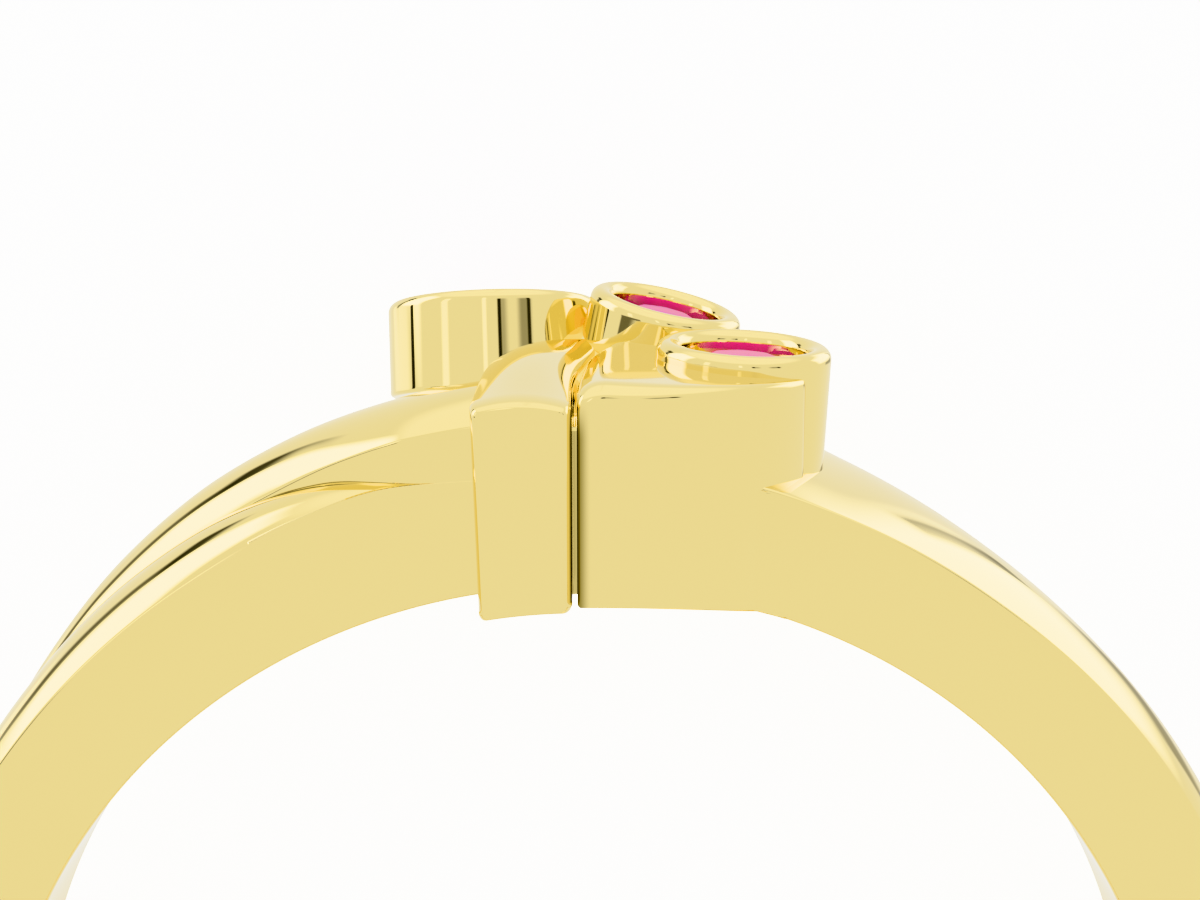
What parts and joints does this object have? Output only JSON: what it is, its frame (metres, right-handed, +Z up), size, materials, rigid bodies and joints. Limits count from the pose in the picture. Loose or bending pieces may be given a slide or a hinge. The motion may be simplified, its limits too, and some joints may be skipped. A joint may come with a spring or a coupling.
{
  "type": "bypass ring",
  "caption": "Polished gold finger ring whose two ends pass each other at the head, an upright bar and block between them, with round rubies in rub-over bezels.",
  "frame": {"origin": "middle of the ring's footprint, on the surface that it lies on", "axes": "+Z up from that surface, +Y from the shank to the head, +X to the right as seen from above; the finger's axis leans 12.6 degrees from +Z"},
  "size_m": [0.0212, 0.0232, 0.0082],
  "materials": {
    "gold": "14 carat yellow gold, cast, soldered and polished",
    "ruby": "faceted ruby, polished"
  },
  "bodies": {
    "root": {"ring_body": "gold", "ruby_back": "ruby", "ruby_middle": "ruby", "ruby_front": "ruby"}
  },
  "joints": []
}
